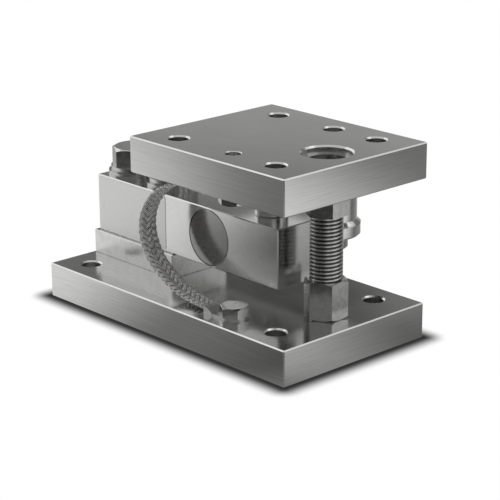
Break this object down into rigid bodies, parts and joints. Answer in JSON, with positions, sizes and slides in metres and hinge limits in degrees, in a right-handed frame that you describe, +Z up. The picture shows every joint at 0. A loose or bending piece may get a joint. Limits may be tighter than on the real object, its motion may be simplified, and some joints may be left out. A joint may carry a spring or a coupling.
{
  "type": "load cell weigh module",
  "caption": "Shear beam load cell bolted to a base plate through a spacer, with a top plate on a load foot, a jack stud, a hanging stop and a braided ground strap.",
  "frame": {"origin": "centre of the base plate's underside", "axes": "+X along the beam from its clamped end to its loaded end, +Z up, from the base plate to the top plate"},
  "size_m": [0.185, 0.1, 0.1044],
  "materials": {
    "plate_steel": "satin ground stainless steel",
    "block_steel": "satin stainless steel",
    "beam_steel": "fine ground, nearly polished stainless steel",
    "cover_steel": "polished stainless steel",
    "fastener_steel": "bright turned stainless steel",
    "washer_steel": "satin stainless steel",
    "foot_steel": "polished hardened stainless steel",
    "stop_steel": "turned stainless steel",
    "tinned_braid": "tinned copper braid, dull grey",
    "lug_metal": "tinned copper, pressed",
    "label_film": "pale silver film",
    "seal_rubber": "black rubber",
    "gauge_film": "thin amber film",
    "board_laminate": "green laminate"
  },
  "bodies": {
    "root": {"base_plate": "plate_steel", "top_plate": "plate_steel", "spacer_block": "block_steel", "load_cell_beam": "beam_steel", "gauge_cover_front": "cover_steel", "gauge_cover_rear": "cover_steel", "strain_gauges": "gauge_film", "terminal_board": "board_laminate", "cable_inlet": "fastener_steel", "cable_seal": "seal_rubber", "cell_label": "label_film", "flat_washers": "washer_steel", "spring_washers": "washer_steel", "cell_bolts": "fastener_steel", "load_foot": "foot_steel", "load_pad": "foot_steel", "jack_standoff": "fastener_steel", "jack_stud": "fastener_steel", "jack_nut": "fastener_steel", "stud_bushing": "fastener_steel", "stop_sleeve": "stop_steel", "stop_nut": "stop_steel", "stop_stud": "fastener_steel", "strap_lug_lower": "lug_metal", "strap_lug_upper": "lug_metal", "ground_bolt_lower": "fastener_steel", "ground_bolt_upper": "fastener_steel", "ground_strap": "tinned_braid"}
  },
  "joints": []
}
